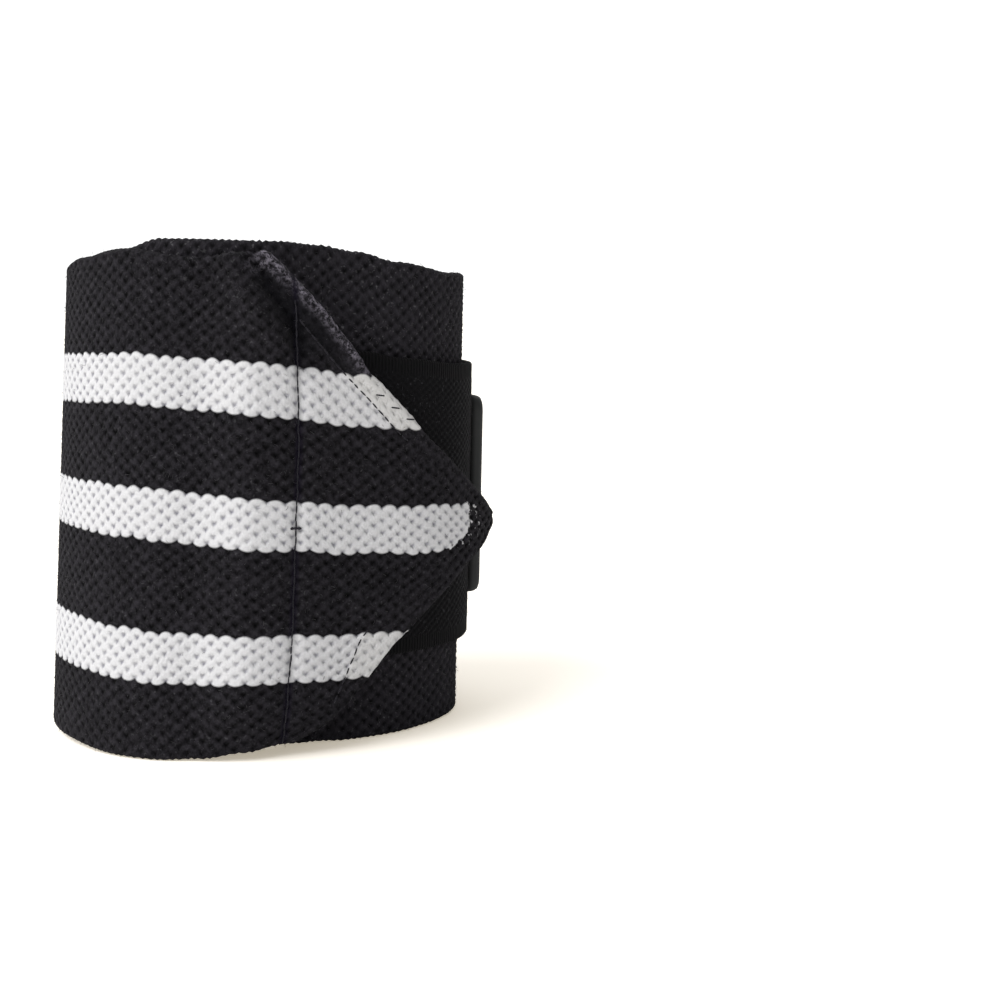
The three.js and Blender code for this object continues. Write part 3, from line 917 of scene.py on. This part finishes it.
def apply_tree(obj, kind, settings, slot):
    """Runs a Geometry Nodes tree on an object once, keeps its result as a plain mesh and ties it on."""
    modifier = obj.modifiers.new("made", "NODES")
    modifier.node_group = node_group(*kind)
    for item in modifier.node_group.interface.items_tree:
        if item.item_type == "SOCKET" and item.in_out == "INPUT" and item.name in settings:
            modifier[item.identifier] = settings[item.name]
    graph = bpy.context.evaluated_depsgraph_get()
    mesh = bpy.data.meshes.new_from_object(obj.evaluated_get(graph))
    obj.modifiers.remove(modifier)
    obj.data = mesh
    shade_smooth(mesh)
    if not mesh.polygons:
        raise RuntimeError(f"{obj.name}: its tree made nothing")
    tie(obj, slot)


def line_object(name, lines):
    """A mesh of edges only, through each line of points."""
    points, edges = [], []
    for line in lines:
        first = len(points)
        points += [tuple(p) for p in line]
        edges += [(first + i, first + i + 1) for i in range(len(line) - 1)]
    mesh = bpy.data.meshes.new(name)
    mesh.from_pydata(points, edges, [])
    return linked(name, mesh)


def sew(name, lines, thread, slot, pitch, length, radius, ragged):
    """Stitches along lines, in millimetres, as one mesh that rides with the wrap."""
    sizes = {"Pitch": pitch * MM, "Length": length * MM, "Radius": radius * MM}
    settings = {**sizes, "Ragged": ragged, "Thread": thread}
    apply_tree(line_object(name, lines), STITCHES, settings, slot)


def outer_face(length, across, above=0.0):
    """Points on the point's outer face, by length past the fold's start and height across the band."""
    angle = np.interp(length, traced(POINT_LIFT), TRACE)
    here = band_section(angle, across)
    return placed(wound(angle, across, here["outer"] + above))


class WRAP_OT_stitches(bpy.types.Operator):
    """Sews the seam, the hems and the patch"""

    bl_idname = "wrap.stitches"
    bl_label = "Stitches"

    def execute(self, context):
        looks = context.scene.wrap_looks
        thread = thread_material("dark_thread", looks.thread_colour)
        across = np.linspace(1.5, 73.0, 160)
        wander = 0.05 * np.sin(across * 0.9) + 0.04 * np.sin(across * 2.3 + 1)
        seam = outer_face(seam_length(across) + wander, across, above=-0.62)
        sew("seam_thread", [seam], thread, "knit", pitch=1.25, length=1.45, radius=0.13, ragged=0.06)
        knot = outer_face(6.4 + np.linspace(-0.7, 0.5, 4), np.full(4, 38.1), above=-0.3)
        sew("seam_knot", [knot], thread, "knit", pitch=0.5, length=0.8, radius=0.24, ragged=0.8)
        hem_lines = {"upper": np.linspace(6.5, 25.0, 60), "lower": np.linspace(13.6, 18.5, 40)}
        hems = [outer_face(at, hem_end(side, at), above=0.22) for side, at in hem_lines.items()]
        sew("hem_thread", hems, thread, "knit", pitch=1.5, length=1.4, radius=0.13, ragged=0.35)
        tick = np.linspace(-0.5, 0.5, 4)
        places = ((20.3, 60.2), (23.1, 58.5), (25.9, 56.9))
        ticks = [outer_face(at + tick, np.full(4, up), above=0.32) for at, up in places]
        sew("hem_ticks", ticks, thread, "knit", pitch=0.25, length=0.6, radius=0.13, ragged=0.1)
        lengths = traced(PATCH_INNER)
        start = np.interp(PATCH_START, TRACE, lengths)
        low = STRAP_HEIGHT - PATCH_WIDTH / 2
        x0, x1 = start + PATCH_STITCH_INWARD, start + PATCH_LENGTH - PATCH_STITCH_INWARD
        y0, y1 = low + PATCH_STITCH_INWARD, low + PATCH_WIDTH - PATCH_STITCH_INWARD
        turns = [(x0, y0), (x1, y0), (x1, y1), (x0, y1), (x0, y0)]
        groove = []
        for (xa, ya), (xb, yb), count in zip(turns, turns[1:], (120, 50, 120, 50)):
            angle = np.interp(np.linspace(xa, xb, count), lengths, TRACE)
            height = np.linspace(ya, yb, count)
            groove.append(placed(wound(angle, height, PATCH_INNER + PATCH_STITCH_HEIGHT)))
        sew("patch_stitches", groove, thread, "tape", pitch=3.6, length=3.1, radius=0.3, ragged=0.03)
        return report(self, "stitches sewn")


def fill_hairs(n, given, put):
    """Geometry Nodes that grow short bent hairs where a surface's value open is above 0."""
    where = n.add("GeometryNodeInputNamedAttribute", {"Name": "open"}, data_type="FLOAT").outputs[0]
    density = n.times(where, given["Density"])
    roots = n.add("GeometryNodeDistributePointsOnFaces", {
        "Mesh": given["Geometry"], "Density": density, "Seed": given["Seed"]}).outputs
    bend = n.add("GeometryNodeCurveQuadraticBezier", {
        "Resolution": 3, "Start": (0, 0, -0.1), "Middle": (0.1, 0, 0.55), "End": (0.55, 0, 0.8)})
    thick = n.math("DIVIDE", given["Radius"], given["Length"])
    wire = n.add("GeometryNodeCurvePrimitiveCircle", {"Resolution": 3, "Radius": thick})
    hair = n.add("GeometryNodeCurveToMesh", {
        "Curve": bend.outputs[0], "Profile Curve": wire.outputs[0], "Fill Caps": True}).outputs[0]
    turn = n.random(11, (-0.9, -0.9, 0.0), (0.9, 0.9, 2 * math.pi))
    tilt = n.add("FunctionNodeEulerToRotation", {0: turn}).outputs[0]
    size = n.times(n.random(12, 0.35, 1.0), given["Length"])
    n.spread(roots[0], hair, n.turned(roots["Rotation"], tilt), size, given["Yarn"], put[0])


HAIRS = ("hairs_on_cloth", "GeometryNodeTree", {
    "Geometry": "Geometry", "Density": "Float", "Length": "Float", "Radius": "Float",
    "Seed": "Int", "Yarn": "Material"}, {"Geometry": "Geometry"}, fill_hairs)


class WRAP_OT_fuzz(bpy.types.Operator):
    """Grows the short loose fibres that stand off the knit and the strap"""

    bl_idname = "wrap.fuzz"
    bl_label = "Loose fibres"

    def execute(self, context):
        looks = context.scene.wrap_looks
        yarn = thread_material("loose_fibre", looks.knit_colour)
        hairs = {
            "knit_fuzz": ("band_outer_turn", "knit", {
                "Density": 270000.0, "Length": 0.9 * MM, "Radius": 0.036 * MM, "Seed": 1, "Yarn": yarn}),
            "strap_fuzz": ("loop_strap", "tape", {
                "Density": 200000.0, "Length": 0.8 * MM, "Radius": 0.025 * MM, "Seed": 2, "Yarn": yarn}),
        }
        for name, (cloth, slot, settings) in hairs.items():
            obj = linked(name, bpy.data.objects[cloth].data.copy())
            apply_tree(obj, HAIRS, settings, slot)
        return report(self, "fibres grown")


# The stage. Colours are linear, and angles are in degrees.
FLOOR_TONES = ((0.985, 0.972, 0.95, 1), (0.995, 0.982, 0.96, 1))
# The photograph's shadow is pale and warm, so the floor as seen is lifted a little.
FLOOR_LIFT = 0.35
FLOOR_LIFT_COLOUR = (1.0, 0.90, 0.72, 1)
WHITE = (1.0, 1.0, 1.0, 1)
ROOM_LEFT = (0.72, 0.72, 0.73, 1)
ROOM_RIGHT = (0.10, 0.10, 0.105, 1)
BACKDROP_STRENGTH = 1.02
LAMPS = {
    "key": {"place": (-1.3, -0.75, 1.5), "width": 45.0, "strength": 1.9},
    "fill": {"place": (0.6, -1.2, 0.8), "width": 60.0, "strength": 0.12},
}
LAMP_COLOUR = (1.0, 0.99, 0.98)
SENSOR_WIDTH = 36.0
FOCAL_LENGTH = 57.37
CAMERA_DISTANCE = 0.28365
CAMERA_HEIGHT = 0.0725
CAMERA_LOOKS_DOWN = 7.0
CAMERA_LOOKS_RIGHT = 8.77
EXPOSURE = 0.25


class WRAP_OT_stage(bpy.types.Operator):
    """Sets the floor, the lights and the camera"""

    bl_idname = "wrap.stage"
    bl_label = "Stage"

    def execute(self, context):
        scene = context.scene
        bpy.ops.mesh.primitive_plane_add(size=40)
        floor = context.active_object
        floor.name = "floor"
        material, n, shader = new_material("pale_floor", 0.75, specular=0.2)
        cloud = n.noise(n.place(), 3.0, detail=2.0)
        n.join(n.mix(cloud, *FLOOR_TONES), shader["Base Color"])
        shader["Emission Color"].default_value = FLOOR_LIFT_COLOUR
        seen = n.add("ShaderNodeLightPath").outputs["Is Camera Ray"]
        n.join(n.times(seen, FLOOR_LIFT), shader["Emission Strength"])
        floor.data.materials.append(material)
        world = bpy.data.worlds.new("studio")
        world.use_nodes = True
        sky = Nodes(world.node_tree)
        way = sky.parts(sky.add("ShaderNodeTexCoord").outputs["Generated"])
        # The backdrop is white behind the wrap, and the room before it is dim, most of all on the right.
        behind = sky.ramp(way[1], 2.2, -0.45)
        rightward = sky.ramp(way[0], 0.9, 0.5)
        lit = sky.mix(behind, sky.mix(rightward, ROOM_LEFT, ROOM_RIGHT), WHITE)
        seen = sky.add("ShaderNodeLightPath").outputs["Is Camera Ray"]
        backdrop = world.node_tree.nodes["Background"].inputs
        sky.join(sky.mix(seen, lit, WHITE), backdrop["Color"])
        backdrop["Strength"].default_value = BACKDROP_STRENGTH
        scene.world = world
        for name, lamp in LAMPS.items():
            data = bpy.data.lights.new(name, "SUN")
            data.angle = math.radians(lamp["width"])
            data.energy = lamp["strength"]
            data.color = LAMP_COLOUR
            sun = linked(name, data)
            sun.location = lamp["place"]
            sun.rotation_euler = (-Vector(lamp["place"])).to_track_quat("-Z", "Y").to_euler()
        lens = bpy.data.cameras.new("camera")
        lens.sensor_width = SENSOR_WIDTH
        lens.lens = FOCAL_LENGTH
        lens.clip_start = 0.01
        camera = linked("camera", lens)
        camera.location = (AXIS[0], AXIS[1] - CAMERA_DISTANCE, CAMERA_HEIGHT)
        tilt, turn = math.radians(90 - CAMERA_LOOKS_DOWN), math.radians(-CAMERA_LOOKS_RIGHT)
        camera.rotation_euler = (tilt, 0.0, turn)
        scene.camera = camera
        scene.view_settings.view_transform = "Standard"
        scene.view_settings.exposure = EXPOSURE
        return report(self, "stage set")


class WRAP_PT_panel(bpy.types.Panel):
    """Lists the wrist wrap's sizes, colours and pieces"""

    bl_label = "Wrist wrap"
    bl_idname = "WRAP_PT_panel"
    bl_space_type = "VIEW_3D"
    bl_region_type = "UI"
    bl_category = "Wrist wrap"

    def draw(self, context):
        looks = context.scene.wrap_looks
        for key in looks.bl_rna.properties.keys():
            if key not in ("rna_type", "name"):
                self.layout.prop(looks, key)
        for operator in OPERATORS:
            self.layout.operator(operator.bl_idname)


OPERATORS = (WRAP_OT_band, WRAP_OT_strap, WRAP_OT_patch, WRAP_OT_stitches, WRAP_OT_fuzz, WRAP_OT_stage)
CLASSES = (WrapLooks, *OPERATORS, WRAP_PT_panel)


def register():
    for cls in CLASSES:
        bpy.utils.register_class(cls)
    bpy.types.Scene.wrap_looks = bpy.props.PointerProperty(type=WrapLooks)


def unregister():
    del bpy.types.Scene.wrap_looks
    for cls in reversed(CLASSES):
        bpy.utils.unregister_class(cls)


def main():
    register()
    bpy.ops.wrap.band()
    bpy.ops.wrap.strap()
    bpy.ops.wrap.patch()
    bpy.ops.wrap.stitches()
    bpy.ops.wrap.fuzz()
    bpy.ops.wrap.stage()


if __name__ == "__main__":
    main()
